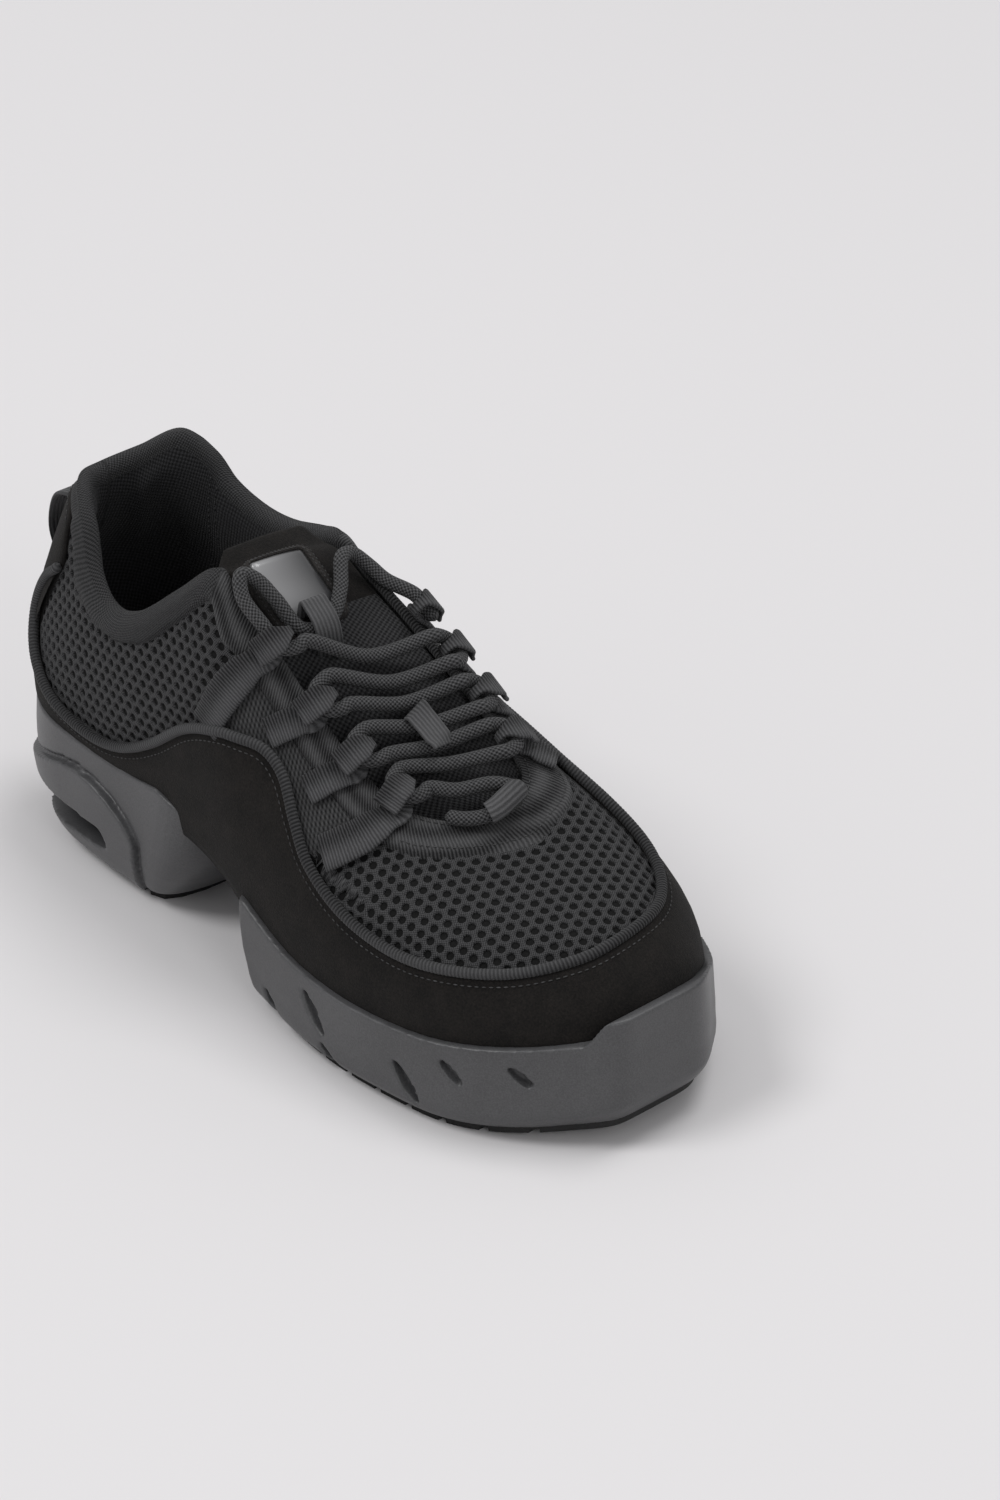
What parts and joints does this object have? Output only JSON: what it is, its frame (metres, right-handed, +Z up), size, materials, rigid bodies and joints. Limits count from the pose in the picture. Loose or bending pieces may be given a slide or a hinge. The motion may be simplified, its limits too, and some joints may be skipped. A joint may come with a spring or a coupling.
{
  "type": "dance sneaker",
  "caption": "Low black dance sneaker for the right foot: split sole, mesh and suede upper, webbing straps with a round lace, padded collar, heel pull tab",
  "frame": {"origin": "on the floor plane, at the middle of the heel tread", "axes": "+X to the toe, +Y to the inner (medial) side of the right foot, +Z up"},
  "size_m": [0.2679, 0.1026, 0.1259],
  "materials": {
    "black": "spacer mesh and knit",
    "suede": "fine nap",
    "webbing": "ribbed tape and braided cord",
    "foam": "satin moulded",
    "rubber": "matte",
    "lining": "padded textile",
    "plate": "smooth satin"
  },
  "bodies": {
    "root": {"upper": "black", "piping": "webbing", "suede_overlay": "suede", "midsole_heel": "foam", "midsole_forefoot": "foam", "outsole_heel": "rubber", "outsole_forefoot": "rubber", "arch_cover": "rubber", "insole": "lining", "tongue": "lining", "badge": "plate", "strap_outer_1": "webbing", "strap_outer_2": "webbing", "strap_outer_3": "webbing", "strap_outer_4": "webbing", "strap_inner_1": "webbing", "strap_inner_2": "webbing", "strap_inner_3": "webbing", "strap_inner_4": "webbing", "lace": "webbing", "tongue_keeper": "webbing", "tongue_loop": "webbing", "toe_loop": "webbing", "pull_tab": "webbing"}
  },
  "joints": []
}
